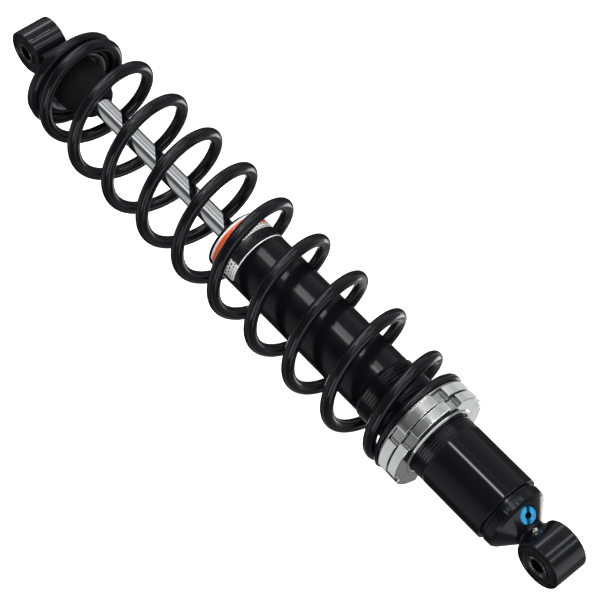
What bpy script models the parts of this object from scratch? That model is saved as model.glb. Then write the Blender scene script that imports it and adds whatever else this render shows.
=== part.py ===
"""Coil-over monotube shock absorber with a bushed eye at each end and screw-adjusted spring preload.

The shock hangs along Z with its rod eye down. Heights are measured up from the rod eye's bolt axis, and
an empty at that axis carries every piece, so that the world origin is the body eye's bolt axis, which
is where the shock is held. Both bolt axes run along X.
"""

import math

import bmesh
import bpy
from mathutils import Matrix, Vector

MM = 0.001

# Driving dimensions
EYE_TO_EYE = 508 * MM
GAP = 0.3 * MM                      # clearance left between neighbouring pieces

# Eyes and their bushes
EYE_WIDTH = 25.4 * MM
SLEEVE_LENGTH = 27.0 * MM
SLEEVE_RADIUS = 8.0 * MM
BOLT_RADIUS = 5.1 * MM              # clears an M10 bolt
BOLT_CHAMFER = 0.9 * MM
ROD_EYE_RADIUS = 16.3 * MM
BODY_EYE_RADIUS = 16.75 * MM
EYE_WALL = 3.2 * MM
BUSH_RECESS = 0.4 * MM              # of the rubber's end below the eye's face

# Rod and what is on it
ROD_RADIUS = 7.0 * MM
ROD_THREAD_RADIUS = 5.0 * MM
THREAD_BORE = ROD_THREAD_RADIUS + GAP
ROD_LOW = 21.0 * MM
ROD_SHOULDER = 43.6 * MM
SPIGOT_LOW = 258.0 * MM
SPIGOT_HIGH = 289.0 * MM
NECK_RADIUS = 8.0 * MM
NECK_LOW = 8.0 * MM
NECK_TOP = 24.0 * MM
COLLAR_RADIUS = 14.0 * MM
COLLAR_LOW = 28.0 * MM
EYE_SHOULDER = 33.1 * MM            # the retainer rests here
BOSS_RADIUS = 9.0 * MM
BOSS_TOP = 37.0 * MM
JAM_NUT_LOW = BOSS_TOP + GAP
JAM_NUT_HEIGHT = 6.0 * MM
JAM_NUT_FLATS = 19.0 * MM
BUMP_RADIUS = 18.8 * MM
BUMP_LOW = 38.6 * MM
BUMP_SHOULDER = 50.6 * MM
BUMP_TAPER = (16.6 * MM, 57.6 * MM)     # radius and height
BUMP_NOSE = (9.5 * MM, 65.8 * MM)       # centre of the nose's round
BUMP_TOP = 69.0 * MM
NUT_POCKET = 13.2 * MM
NUT_POCKET_TOP = 44.6 * MM
CUP_BASE_RADIUS = 20.2 * MM
CUP_RADIUS = 24.4 * MM
CUP_HEIGHT = 5.5 * MM
CUP_WALL = 1.2 * MM
PISTON_NUT_FLATS = 16.0 * MM
PISTON_NUT_HEIGHT = 8.0 * MM
SHIM_THICKNESS = 0.7 * MM
REBOUND_SHIMS = (8.0 * MM, 10.5 * MM, 13.0 * MM)        # radii, from the lowest up
COMPRESSION_SHIMS = (14.0 * MM, 11.0 * MM, 8.0 * MM)
TOP_OUT_RADIUS = 12.5 * MM
TOP_OUT_HIGH = 257.0 * MM

# Spring and its two seats
RETAINER_RADIUS = 36.8 * MM
RETAINER_LOW = EYE_SHOULDER + GAP
RETAINER_TOP = 36.7 * MM
PILOT_RADIUS = 28.4 * MM
PILOT_INNER_RADIUS = 25.4 * MM
PILOT_TOP = 41.8 * MM
SLOT_CLEARANCE = 0.5 * MM           # each side of the rod
WIRE_RADIUS = 4.4 * MM
COIL_RADIUS = 39.25 * MM            # to the wire's centre, in the open coils
END_COIL_RADIUS = 33.4 * MM
SPRING_LOW = RETAINER_TOP + GAP
SPRING_HIGH = 391.1 * MM
CLOSED_PITCH = 9.1 * MM
OPENING_HEIGHT = 6.6 * MM           # wire centre above its seat where the coils begin to open
OPENING_ANGLE = math.radians(170)   # over which the pitch grows to its full value
TIP_ANGLE = math.radians(350)       # closed coil between the opening point and the wire's tip
SPAN_ANGLE = math.radians(3460)     # between the two opening points
START_ANGLE = math.radians(-153.3)  # where the lower opening point lies about Z
WIDENING = (math.radians(-40), math.radians(480))
WASHER_LOW = SPRING_HIGH + GAP
WASHER_THICKNESS = 1.3 * MM
WASHER_RADIUS = 35.5 * MM
RING_RADIUS = 36.7 * MM
RING_BORE = 24.1 * MM
RING_HEIGHT = 7.6 * MM
ADJUSTER_LOW = WASHER_LOW + WASHER_THICKNESS + GAP
LOCK_RING_LOW = ADJUSTER_LOW + RING_HEIGHT + GAP
NOTCHES = 6
NOTCH_WIDTH = 9.6 * MM
NOTCH_DEPTH = 3.8 * MM
ADJUSTER_NOTCH_ANGLE = math.radians(-37.5)
LOCK_NOTCH_ANGLE = math.radians(-43.5)

# Damper body
BORE_RADIUS = 20.0 * MM
SLIM_RADIUS = 22.75 * MM
THREAD_RADIUS = 23.8 * MM
STOUT_RADIUS = 23.95 * MM
TUBE_LOW = 211.7 * MM
THREAD_LOW = 356.4 * MM
THREAD_HIGH = 420.2 * MM
TUBE_HIGH = 469.0 * MM
END_ROUND = 1.4 * MM
CLIP_LOW = 214.6 * MM
CLIP_HEIGHT = 1.7 * MM
SLIDING_RADIUS = BORE_RADIUS - GAP  # heads and pistons that fit the bore
HEAD_LOW = 217.0 * MM
HEAD_TOP = 246.7 * MM
PISTON_LOW = 261.6 * MM
PISTON_HEIGHT = 12.0 * MM
PISTON_PORTS = 6
PORT_CIRCLE = 11.5 * MM
PORT_RADIUS = 2.2 * MM
RING_FLOOR = 17.6 * MM              # groove radius under every O-ring and band
SEAL_RADIUS = 11.5 * MM
GUIDE_RADIUS = 8.7 * MM
HEAD_LAND_RADIUS = 8.0 * MM
FLOAT_LOW = 416.0 * MM
FLOAT_HEIGHT = 16.0 * MM
FLOAT_CROWN = 4.5 * MM
FLOAT_SKIRT_RADIUS = 14.5 * MM
CAP_LOW = 456.0 * MM
CAP_CHAMBER_RADIUS = 13.0 * MM
CAP_CHAMBER_TOP = 472.0 * MM
CAP_GROOVE = (21.7 * MM, 471.4 * MM)    # radius and height
CAP_BAND_LOW = (22.7 * MM, 472.2 * MM)
CAP_BAND_HIGH = (21.7 * MM, 478.6 * MM)
CONE_LOW = (21.0 * MM, 480.0 * MM)
CONE_HIGH = (9.9 * MM, 489.3 * MM)
CAP_NECK_TOP = 490.4 * MM
CAP_SHOULDER = (12.3 * MM, 494.2 * MM)
CAP_SHOULDER_TOP = 498.5 * MM
PLUG_RADIUS = 5.75 * MM
PLUG_SHANK_RADIUS = 3.9 * MM
PLUG_FACE = -0.4 * MM               # depths below the cone
PLUG_HEAD_LOW = -3.1 * MM
PLUG_LOW = -10.0 * MM
PLUG_HOLE_RADIUS = 1.9 * MM
PLUG_SLOT_WIDTH = 1.4 * MM
PLUG_SLOT_DEPTH = 1.2 * MM
PORT_SEAL_LOW = -13.1 * MM
PASSAGE_RADIUS = 2.2 * MM
PASSAGE_LOW = -18.0 * MM
PLUG_SLOT_ANGLE = math.radians(12.6)
LABEL_LOW = 213.3 * MM
LABEL_HIGH = 236.7 * MM
LABEL_START = math.radians(-168)
LABEL_SPAN = math.radians(168)

# Finishes: colour, roughness, metallic
BLACK_SATIN = ((0.03, 0.03, 0.034), 0.38, 0.0)
BLACK_GLOSS = ((0.028, 0.028, 0.032), 0.25, 0.0)
CHROME = ((0.78, 0.79, 0.8), 0.06, 1.0)
TURNED_ALUMINIUM = ((0.77, 0.77, 0.76), 0.3, 1.0)
PLAIN_STEEL = ((0.5, 0.5, 0.5), 0.4, 1.0)
BLUE_ANODISED = ((0.04, 0.42, 0.72), 0.3, 0.7)
RUBBER = ((0.02, 0.02, 0.021), 0.75, 0.0)
BUMP_FOAM = ((0.03, 0.032, 0.036), 0.85, 0.0)
BRONZE = ((0.55, 0.36, 0.16), 0.4, 1.0)
SEAL_GREEN = ((0.05, 0.16, 0.09), 0.6, 0.0)
LABEL_WHITE = ((0.85, 0.85, 0.83), 0.45, 0.0)


# Building blocks

def clear_scene():
    for obj in list(bpy.data.objects):
        bpy.data.objects.remove(obj, do_unlink=True)


def add_datum():
    datum = bpy.data.objects.new("rod_eye_axis", None)
    datum.location = (0, 0, -EYE_TO_EYE)
    bpy.context.scene.collection.objects.link(datum)


def add_material(name, finish):
    colour, roughness, metallic = finish
    material = bpy.data.materials.new(name)
    material.use_nodes = True
    shader = material.node_tree.nodes["Principled BSDF"]
    shader.inputs["Base Color"].default_value = (*colour, 1)
    shader.inputs["Roughness"].default_value = roughness
    shader.inputs["Metallic"].default_value = metallic
    return material


def add_object(name, bm, finish=None):
    """Turn a bmesh into an object on the datum; one without a finish is a cutter."""
    bmesh.ops.recalc_face_normals(bm, faces=bm.faces)
    if bm.calc_volume(signed=True) < 0:
        bmesh.ops.reverse_faces(bm, faces=bm.faces)
    mesh = bpy.data.meshes.new(name)
    bm.to_mesh(mesh)
    bm.free()
    obj = bpy.data.objects.new(name, mesh)
    bpy.context.scene.collection.objects.link(obj)
    obj.parent = bpy.data.objects["rod_eye_axis"]
    if finish:
        mesh.materials.append(add_material(name, finish))
        mesh.shade_smooth()
        mesh.set_sharp_from_angle(angle=math.radians(30))
    else:
        obj.hide_render = True
        obj.display_type = 'WIRE'
    return obj


def spun(profile, segments, start=0.0, span=2 * math.pi):
    """Spin an outline of (radius, height) points about Z; one that starts on the axis is left open."""
    bm = bmesh.new()
    whole = span >= 2 * math.pi - 1e-6
    verts = [bm.verts.new((radius, 0, height)) for radius, height in profile]
    bmesh.ops.rotate(bm, verts=verts, cent=(0, 0, 0), matrix=Matrix.Rotation(start, 3, 'Z'))
    pairs = list(zip(verts, verts[1:]))
    if profile[0][0] > 0:
        pairs.append((verts[-1], verts[0]))
    geometry = verts + [bm.edges.new(pair) for pair in pairs]
    if not whole:
        geometry.append(bm.faces.new(verts))
    bmesh.ops.spin(bm, geom=geometry, cent=(0, 0, 0), axis=(0, 0, 1), angle=span, steps=segments,
                   use_merge=whole)
    bmesh.ops.remove_doubles(bm, verts=bm.verts, dist=0.001 * MM)
    return bm


def turned(name, profile, finish=None, segments=28, start=0.0, span=2 * math.pi):
    return add_object(name, spun(profile, segments, start, span), finish)


def ring_outline(inner, outer, low, high, chamfer=0.0):
    """Outline of a plain ring, with both outer corners broken when a chamfer is given."""
    if not chamfer:
        return [(inner, low), (outer, low), (outer, high), (inner, high)]
    return [(inner, low), (outer - chamfer, low), (outer, low + chamfer),
            (outer, high - chamfer), (outer - chamfer, high), (inner, high)]


def rounded_corner(centre, radius, start, end, steps):
    """Points on a quarter round in an outline, between two angles in degrees."""
    points = []
    for step in range(steps + 1):
        angle = math.radians(start + (end - start) * step / steps)
        points.append((centre[0] + radius * math.cos(angle), centre[1] + radius * math.sin(angle)))
    return points


def cylinders(name, placed, segments=16):
    """One cutter holding several cylinders: (frame, radius, low, high), each along its frame's Z."""
    bm = bmesh.new()
    for frame, radius, low, high in placed:
        lift = Matrix.Translation((0, 0, (low + high) / 2))
        bmesh.ops.create_cone(bm, cap_ends=True, segments=segments, radius1=radius, radius2=radius,
                              depth=high - low, matrix=frame @ lift)
    return add_object(name, bm)


def boxes(name, placed):
    """One cutter holding several boxes: (frame, low corner, high corner)."""
    bm = bmesh.new()
    for frame, low, high in placed:
        size = Matrix.Diagonal((*(Vector(high) - Vector(low)), 1))
        middle = Matrix.Translation((Vector(high) + Vector(low)) / 2)
        bmesh.ops.create_cube(bm, size=1, matrix=frame @ middle @ size)
    return add_object(name, bm)


def combine(obj, other, operation='DIFFERENCE'):
    modifier = obj.modifiers.new(other.name, 'BOOLEAN')
    modifier.operation = operation
    modifier.object = other


def around_z(count, start=0.0):
    return [Matrix.Rotation(start + 2 * math.pi * index / count, 4, 'Z') for index in range(count)]


def along_x(height):
    """Frame on a bolt axis: its Z points along world X."""
    return Matrix.Translation((0, 0, height)) @ Matrix.Rotation(math.pi / 2, 4, 'Y')


# Eyes

def add_eye(obj, name, height, radius):
    """Join a bushed barrel to a turned shank."""
    half = EYE_WIDTH / 2
    barrel = cylinders(name + "_barrel", [(along_x(height), radius, -half, half)], segments=32)
    bore = cylinders(name + "_bore", [(along_x(height), radius - EYE_WALL, -half * 2, half * 2)], segments=24)
    combine(obj, barrel, 'UNION')
    combine(obj, bore)


def add_bush(name, height, eye_radius):
    """Rubber bush and its steel sleeve, with their axes along X."""
    outer = eye_radius - EYE_WALL - GAP
    inner = SLEEVE_RADIUS + GAP
    half = EYE_WIDTH / 2 - BUSH_RECESS
    bush = turned(name + "_bush", ring_outline(inner, outer, -half, half), RUBBER, segments=24)
    bush.matrix_local = along_x(height)
    half = SLEEVE_LENGTH / 2
    mouth = BOLT_RADIUS + BOLT_CHAMFER
    outline = [(BOLT_RADIUS, -half + BOLT_CHAMFER), (mouth, -half), (SLEEVE_RADIUS, -half),
               (SLEEVE_RADIUS, half), (mouth, half), (BOLT_RADIUS, half - BOLT_CHAMFER)]
    sleeve = turned(name + "_sleeve", outline, PLAIN_STEEL, segments=20)
    sleeve.matrix_local = along_x(height)


# Rod assembly

def add_rod_eye():
    """Shank that carries the retainer on its shoulder and takes the rod's thread."""
    shank = [(0, NECK_LOW), (NECK_RADIUS, NECK_LOW), (NECK_RADIUS, NECK_TOP), (COLLAR_RADIUS, COLLAR_LOW),
             (COLLAR_RADIUS, EYE_SHOULDER), (BOSS_RADIUS, EYE_SHOULDER), (BOSS_RADIUS, BOSS_TOP),
             (0, BOSS_TOP)]
    eye = turned("rod_eye", shank, BLACK_SATIN, segments=24)
    add_eye(eye, "rod_eye", 0, ROD_EYE_RADIUS)
    upright = Matrix.Identity(4)
    thread_hole = cylinders("rod_eye_thread", [(upright, THREAD_BORE, ROD_LOW - GAP, BOSS_TOP + 1 * MM)])
    combine(eye, thread_hole)
    add_bush("rod_eye", 0, ROD_EYE_RADIUS)


def add_rod():
    chamfer = 0.8 * MM
    outline = [(0, ROD_LOW), (ROD_THREAD_RADIUS, ROD_LOW), (ROD_THREAD_RADIUS, ROD_SHOULDER),
               (ROD_RADIUS - chamfer, ROD_SHOULDER), (ROD_RADIUS, ROD_SHOULDER + chamfer),
               (ROD_RADIUS, SPIGOT_LOW), (ROD_THREAD_RADIUS, SPIGOT_LOW),
               (ROD_THREAD_RADIUS, SPIGOT_HIGH), (0, SPIGOT_HIGH)]
    turned("piston_rod", outline, CHROME, segments=20)


def add_hex_nut(name, across_flats, low, height):
    corner = across_flats / 2 / math.cos(math.pi / 6)
    nut = turned(name, [(0, low), (corner, low), (corner, low + height), (0, low + height)],
                 PLAIN_STEEL, segments=6)
    upright = Matrix.Identity(4)
    combine(nut, cylinders(name + "_hole", [(upright, THREAD_BORE, low - 1 * MM, low + height + 1 * MM)]))


def add_bump_stop():
    clear = ROD_RADIUS + GAP
    nose = rounded_corner(BUMP_NOSE, BUMP_TOP - BUMP_NOSE[1], 0, 90, 3)
    outline = [(NUT_POCKET, BUMP_LOW), (BUMP_RADIUS, BUMP_LOW), (BUMP_RADIUS, BUMP_SHOULDER),
               BUMP_TAPER, *nose, (clear, BUMP_TOP), (clear, NUT_POCKET_TOP), (NUT_POCKET, NUT_POCKET_TOP)]
    turned("bump_stop", outline, BUMP_FOAM, segments=24)


def add_bump_cup():
    floor = RETAINER_TOP + GAP
    rim = floor + CUP_HEIGHT
    inside = floor + CUP_WALL
    bend = CUP_BASE_RADIUS - 0.8 * MM
    outline = [(NUT_POCKET, floor), (CUP_BASE_RADIUS, floor), (CUP_RADIUS, rim - CUP_WALL), (CUP_RADIUS, rim),
               (CUP_RADIUS - CUP_WALL, rim), (bend, inside), (NUT_POCKET, inside)]
    turned("bump_cup", outline, PLAIN_STEEL)


def add_shims(name, low, radii):
    """Stack of thin discs of the given radii, from the lowest up."""
    for index, radius in enumerate(radii):
        base = low + index * (SHIM_THICKNESS + GAP)
        turned(f"{name}_{index + 1}", ring_outline(THREAD_BORE, radius, base, base + SHIM_THICKNESS),
               PLAIN_STEEL, segments=16)


def add_piston():
    high = PISTON_LOW + PISTON_HEIGHT
    groove = (PISTON_LOW + 2.5 * MM, high - 2.5 * MM)
    outline = [(THREAD_BORE, PISTON_LOW), (SLIDING_RADIUS, PISTON_LOW), (SLIDING_RADIUS, groove[0]),
               (RING_FLOOR, groove[0]), (RING_FLOOR, groove[1]), (SLIDING_RADIUS, groove[1]),
               (SLIDING_RADIUS, high), (THREAD_BORE, high)]
    piston = turned("piston", outline, PLAIN_STEEL)
    ports = [(turn @ Matrix.Translation((PORT_CIRCLE, 0, 0)), PORT_RADIUS, PISTON_LOW - 1 * MM, high + 1 * MM)
             for turn in around_z(PISTON_PORTS)]
    combine(piston, cylinders("piston_ports", ports, segments=8))
    add_band("piston_band", groove)


def add_valving():
    add_shims("rebound_shim", SPIGOT_LOW + GAP, REBOUND_SHIMS)
    shims_low = PISTON_LOW + PISTON_HEIGHT + GAP
    add_shims("compression_shim", shims_low, COMPRESSION_SHIMS)
    nut_low = shims_low + len(COMPRESSION_SHIMS) * (SHIM_THICKNESS + GAP) + GAP
    add_hex_nut("piston_nut", PISTON_NUT_FLATS, nut_low, PISTON_NUT_HEIGHT)
    turned("top_out_bumper", ring_outline(ROD_RADIUS + GAP, TOP_OUT_RADIUS, HEAD_TOP + GAP, TOP_OUT_HIGH,
                                          chamfer=1.5 * MM), RUBBER, segments=18)


# Spring and seats

def smooth_step(value, low, high):
    share = min(max((value - low) / (high - low), 0), 1)
    return share * share * (3 - 2 * share)


def coil_pitch():
    """Full pitch that makes the two mirrored halves meet midway between the seats."""
    half_height = (SPRING_HIGH - SPRING_LOW) / 2
    closed_part = CLOSED_PITCH * OPENING_ANGLE / (4 * math.pi)
    return (half_height - OPENING_HEIGHT - closed_part) * 4 * math.pi / (SPAN_ANGLE - OPENING_ANGLE)


def height_on_seat(angle):
    """Wire centre's height above its seat, by the angle past the opening point."""
    if angle <= 0:
        return OPENING_HEIGHT + CLOSED_PITCH * angle / (2 * math.pi)
    opened = min(angle, OPENING_ANGLE)
    growth = (coil_pitch() - CLOSED_PITCH) * opened / OPENING_ANGLE
    height = OPENING_HEIGHT + (CLOSED_PITCH + growth / 2) * opened / (2 * math.pi)
    return height + coil_pitch() * (angle - opened) / (2 * math.pi)


def wire_centre(angle):
    """Point on the coil's centre line, by the angle past the lower opening point."""
    from_seat = min(angle, SPAN_ANGLE - angle)
    radius = END_COIL_RADIUS + (COIL_RADIUS - END_COIL_RADIUS) * smooth_step(from_seat, *WIDENING)
    if angle < SPAN_ANGLE / 2:
        height = SPRING_LOW + height_on_seat(angle)
    else:
        height = SPRING_HIGH - height_on_seat(SPAN_ANGLE - angle)
    turn = START_ANGLE + angle
    return Vector((radius * math.cos(turn), radius * math.sin(turn), height))


def add_spring(sides=8, steps_per_turn=16):
    """Right-handed wire with closed ends, ground flat where they meet the seats."""
    low = -TIP_ANGLE
    high = SPAN_ANGLE + TIP_ANGLE
    steps = round((high - low) / (2 * math.pi) * steps_per_turn)
    bm = bmesh.new()
    rings = []
    for step in range(steps + 1):
        angle = low + (high - low) * step / steps
        centre = wire_centre(angle)
        tangent = (wire_centre(angle + 0.01) - wire_centre(angle - 0.01)).normalized()
        outward = Vector((centre.x, centre.y, 0)).normalized()
        across = tangent.cross(outward).normalized()
        ring = []
        for side in range(sides):
            around = 2 * math.pi * (side + 0.5) / sides
            point = centre + (outward * math.cos(around) + across * math.sin(around)) * WIRE_RADIUS
            point.z = min(max(point.z, SPRING_LOW), SPRING_HIGH)
            ring.append(bm.verts.new(point))
        rings.append(ring)
    for below, above in zip(rings, rings[1:]):
        for side in range(sides):
            following = (side + 1) % sides
            bm.faces.new((below[side], below[following], above[following], above[side]))
    bm.faces.new(rings[0])
    bm.faces.new(rings[-1])
    add_object("coil_spring", bm, BLACK_GLOSS)


def add_retainer():
    """Lower seat: a flanged dish with a slot so that it slides on sideways over the rod."""
    edge = 0.8 * MM
    hole = BOSS_RADIUS + GAP
    outline = [(hole, RETAINER_LOW), (RETAINER_RADIUS - edge, RETAINER_LOW),
               (RETAINER_RADIUS, RETAINER_LOW + edge), (RETAINER_RADIUS, RETAINER_TOP),
               (PILOT_RADIUS, RETAINER_TOP), (PILOT_RADIUS, PILOT_TOP - edge),
               (PILOT_RADIUS - edge, PILOT_TOP),
               (PILOT_INNER_RADIUS, PILOT_TOP), (PILOT_INNER_RADIUS, RETAINER_TOP), (hole, RETAINER_TOP)]
    retainer = turned("spring_retainer", outline, BLACK_SATIN, segments=36)
    slot_half = ROD_RADIUS + SLOT_CLEARANCE
    slot = boxes("retainer_slot", [(Matrix.Identity(4), (-slot_half, 0, RETAINER_LOW - 1 * MM),
                                    (slot_half, RETAINER_RADIUS + 1 * MM, PILOT_TOP + 1 * MM))])
    combine(retainer, slot)


def add_preload_ring(name, low, notch_angle):
    ring = turned(name, ring_outline(RING_BORE, RING_RADIUS, low, low + RING_HEIGHT, chamfer=0.6 * MM),
                  TURNED_ALUMINIUM, segments=36)
    notch = ((RING_RADIUS - NOTCH_DEPTH, -NOTCH_WIDTH / 2, low - 1 * MM),
             (RING_RADIUS + 2 * MM, NOTCH_WIDTH / 2, low + RING_HEIGHT + 1 * MM))
    combine(ring, boxes(name + "_notches", [(turn, *notch) for turn in around_z(NOTCHES, notch_angle)]))


def add_preload_stack():
    washer_top = WASHER_LOW + WASHER_THICKNESS
    turned("spring_washer", ring_outline(RING_BORE + GAP, WASHER_RADIUS, WASHER_LOW, washer_top),
           PLAIN_STEEL, segments=36)
    add_preload_ring("adjuster_ring", ADJUSTER_LOW, ADJUSTER_NOTCH_ANGLE)
    add_preload_ring("lock_ring", LOCK_RING_LOW, LOCK_NOTCH_ANGLE)


# Damper body

def add_tube():
    """Body tube: slim below the preload thread and stout above it, with a groove for the clip."""
    edge = 0.7 * MM
    clip_groove = BORE_RADIUS + 1.3 * MM
    corner = rounded_corner((SLIM_RADIUS - END_ROUND, TUBE_LOW + END_ROUND), END_ROUND, -80, 0, 4)
    outline = [(BORE_RADIUS, TUBE_LOW + 0.2 * MM), *corner,
               (SLIM_RADIUS, THREAD_LOW), (THREAD_RADIUS, THREAD_LOW + edge),
               (THREAD_RADIUS, THREAD_HIGH - edge), (STOUT_RADIUS, THREAD_HIGH),
               (STOUT_RADIUS, TUBE_HIGH - edge), (STOUT_RADIUS - edge, TUBE_HIGH), (BORE_RADIUS, TUBE_HIGH),
               (BORE_RADIUS, CLIP_LOW + CLIP_HEIGHT + GAP), (clip_groove, CLIP_LOW + CLIP_HEIGHT + GAP),
               (clip_groove, CLIP_LOW - GAP), (BORE_RADIUS, CLIP_LOW - GAP)]
    turned("body_tube", outline, BLACK_SATIN, segments=36)


def add_seal_head():
    """Rod guide, sealed to the bore by its O-ring and to the rod by the seal, wiper and bush."""
    rod_clear = ROD_RADIUS + GAP
    pocket = SEAL_RADIUS + GAP
    guide_pocket = GUIDE_RADIUS + GAP
    wiper = (HEAD_LOW, HEAD_LOW + 4 * MM)
    seal = (HEAD_LOW + 8 * MM, HEAD_LOW + 14 * MM)
    ring = (HEAD_LOW + 11 * MM, HEAD_LOW + 15 * MM)
    bush_low = HEAD_LOW + 18 * MM
    outline = [(pocket, wiper[0]), (SLIDING_RADIUS, wiper[0]), (SLIDING_RADIUS, ring[0]),
               (RING_FLOOR, ring[0]), (RING_FLOOR, ring[1]), (SLIDING_RADIUS, ring[1]),
               (SLIDING_RADIUS, HEAD_TOP), (guide_pocket, HEAD_TOP), (guide_pocket, bush_low - GAP),
               (HEAD_LAND_RADIUS, bush_low - GAP), (HEAD_LAND_RADIUS, seal[1] + GAP), (pocket, seal[1] + GAP),
               (pocket, seal[0] - GAP), (HEAD_LAND_RADIUS, seal[0] - GAP), (HEAD_LAND_RADIUS, wiper[1] + GAP),
               (pocket, wiper[1] + GAP)]
    turned("seal_head", outline, TURNED_ALUMINIUM)
    turned("wiper_seal", ring_outline(rod_clear, SEAL_RADIUS, *wiper), RUBBER, segments=18)
    turned("rod_seal", ring_outline(rod_clear, SEAL_RADIUS, *seal), SEAL_GREEN, segments=18)
    turned("guide_bush", ring_outline(rod_clear, GUIDE_RADIUS, bush_low, HEAD_TOP - GAP), BRONZE, segments=18)
    add_bore_ring("seal_head_oring", ring)


def add_bore_ring(name, groove):
    """O-ring that fills a groove and reaches the bore."""
    turned(name, ring_outline(RING_FLOOR + GAP, BORE_RADIUS - 0.15 * MM, groove[0] + GAP, groove[1] - GAP,
                              chamfer=0.6 * MM), RUBBER, segments=20)


def add_band(name, groove):
    """Plain wear band that fills a groove and guides a piston in the bore."""
    turned(name, ring_outline(RING_FLOOR + GAP, BORE_RADIUS - 0.2 * MM, groove[0] + GAP, groove[1] - GAP),
           BRONZE)


def add_rod_end_closure():
    gap_angle = math.radians(24)
    turned("circlip", ring_outline(17 * MM, BORE_RADIUS + 1 * MM, CLIP_LOW, CLIP_LOW + CLIP_HEIGHT),
           PLAIN_STEEL, segments=24, start=gap_angle / 2, span=2 * math.pi - gap_angle)
    rod_hole = ROD_RADIUS + 0.6 * MM
    turned("dust_cap", ring_outline(rod_hole, SLIDING_RADIUS, TUBE_LOW + 0.4 * MM, CLIP_LOW - 2 * GAP),
           BLACK_SATIN)


def add_floating_piston():
    """Cup that keeps the gas above it from the oil below."""
    high = FLOAT_LOW + FLOAT_HEIGHT
    crown = FLOAT_LOW + FLOAT_CROWN
    ring = (FLOAT_LOW + 2.5 * MM, FLOAT_LOW + 6.5 * MM)
    band = (FLOAT_LOW + 9 * MM, FLOAT_LOW + 13.5 * MM)
    outline = [(0, FLOAT_LOW), (SLIDING_RADIUS, FLOAT_LOW), (SLIDING_RADIUS, ring[0]), (RING_FLOOR, ring[0]),
               (RING_FLOOR, ring[1]), (SLIDING_RADIUS, ring[1]), (SLIDING_RADIUS, band[0]),
               (RING_FLOOR, band[0]), (RING_FLOOR, band[1]), (SLIDING_RADIUS, band[1]),
               (SLIDING_RADIUS, high), (FLOAT_SKIRT_RADIUS, high), (FLOAT_SKIRT_RADIUS, crown), (0, crown)]
    turned("floating_piston", outline, TURNED_ALUMINIUM)
    add_bore_ring("floating_piston_oring", ring)
    add_band("floating_piston_band", band)


def port_frame():
    """Frame on the cone's middle at -Y, with Z along the cone's outward normal."""
    radius = (CONE_LOW[0] + CONE_HIGH[0]) / 2
    height = (CONE_LOW[1] + CONE_HIGH[1]) / 2
    slope = math.atan2(CONE_HIGH[1] - CONE_LOW[1], CONE_LOW[0] - CONE_HIGH[0])
    return Matrix.Translation((0, -radius, height)) @ Matrix.Rotation(math.pi / 2 - slope, 4, 'X')


def add_end_cap():
    """Threaded cap with the body eye; its chamber is part of the gas space, filled through the side port."""
    seat = TUBE_HIGH + GAP
    ring = (CAP_LOW + 5 * MM, CAP_LOW + 9 * MM)
    outline = [(0, CAP_CHAMBER_TOP), (CAP_CHAMBER_RADIUS, CAP_CHAMBER_TOP), (CAP_CHAMBER_RADIUS, CAP_LOW),
               (SLIDING_RADIUS, CAP_LOW), (SLIDING_RADIUS, ring[0]), (RING_FLOOR, ring[0]),
               (RING_FLOOR, ring[1]), (SLIDING_RADIUS, ring[1]), (SLIDING_RADIUS, seat),
               (CAP_GROOVE[0], seat), CAP_GROOVE, CAP_BAND_LOW, CAP_BAND_HIGH, CONE_LOW, CONE_HIGH,
               (CONE_HIGH[0], CAP_NECK_TOP),
               CAP_SHOULDER, (CAP_SHOULDER[0], CAP_SHOULDER_TOP), (0, CAP_SHOULDER_TOP)]
    cap = turned("end_cap", outline, BLACK_SATIN, segments=36)
    add_eye(cap, "body_eye", EYE_TO_EYE, BODY_EYE_RADIUS)
    cut_gas_port(cap)
    add_bush("body_eye", EYE_TO_EYE, BODY_EYE_RADIUS)
    add_bore_ring("end_cap_oring", ring)


def cut_gas_port(cap):
    """Cut the stepped gas port, from the cone into the chamber, with one turned cutter."""
    shank = PLUG_SHANK_RADIUS + GAP
    head = PLUG_RADIUS + GAP
    step = PLUG_HEAD_LOW - GAP
    bottom = PORT_SEAL_LOW - GAP
    above = 8 * MM
    outline = [(0, PASSAGE_LOW), (PASSAGE_RADIUS, PASSAGE_LOW), (PASSAGE_RADIUS, bottom), (shank, bottom),
               (shank, step), (head, step), (head, above), (0, above)]
    cutter = turned("gas_port", outline, segments=24)
    cutter.matrix_local = port_frame()
    combine(cap, cutter)


def add_gas_port():
    """Slotted plug that closes the gas port, over its rubber fill seal."""
    frame = port_frame()
    outline = [(PLUG_HOLE_RADIUS, PLUG_LOW), (PLUG_SHANK_RADIUS, PLUG_LOW),
               (PLUG_SHANK_RADIUS, PLUG_HEAD_LOW), (PLUG_RADIUS, PLUG_HEAD_LOW), (PLUG_RADIUS, PLUG_FACE),
               (PLUG_HOLE_RADIUS, PLUG_FACE)]
    plug = turned("gas_port_plug", outline, BLUE_ANODISED, segments=24)
    plug.matrix_local = frame
    slot_frame = frame @ Matrix.Rotation(math.pi / 2 - PLUG_SLOT_ANGLE, 4, 'Z')
    half = PLUG_SLOT_WIDTH / 2
    reach = PLUG_RADIUS + 1 * MM
    slot = (slot_frame, (-reach, -half, PLUG_FACE - PLUG_SLOT_DEPTH), (reach, half, 1 * MM))
    combine(plug, boxes("plug_slot", [slot]))
    seal_top = PLUG_LOW - GAP
    disc = [(0, PORT_SEAL_LOW), (PLUG_SHANK_RADIUS, PORT_SEAL_LOW), (PLUG_SHANK_RADIUS, seal_top),
            (0, seal_top)]
    seal = turned("gas_port_seal", disc, RUBBER, segments=16)
    seal.matrix_local = frame


def add_label():
    inner = SLIM_RADIUS + 0.12 * MM
    turned("warning_label", ring_outline(inner, inner + 0.25 * MM, LABEL_LOW, LABEL_HIGH), LABEL_WHITE,
           segments=18, start=LABEL_START, span=LABEL_SPAN)


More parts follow.
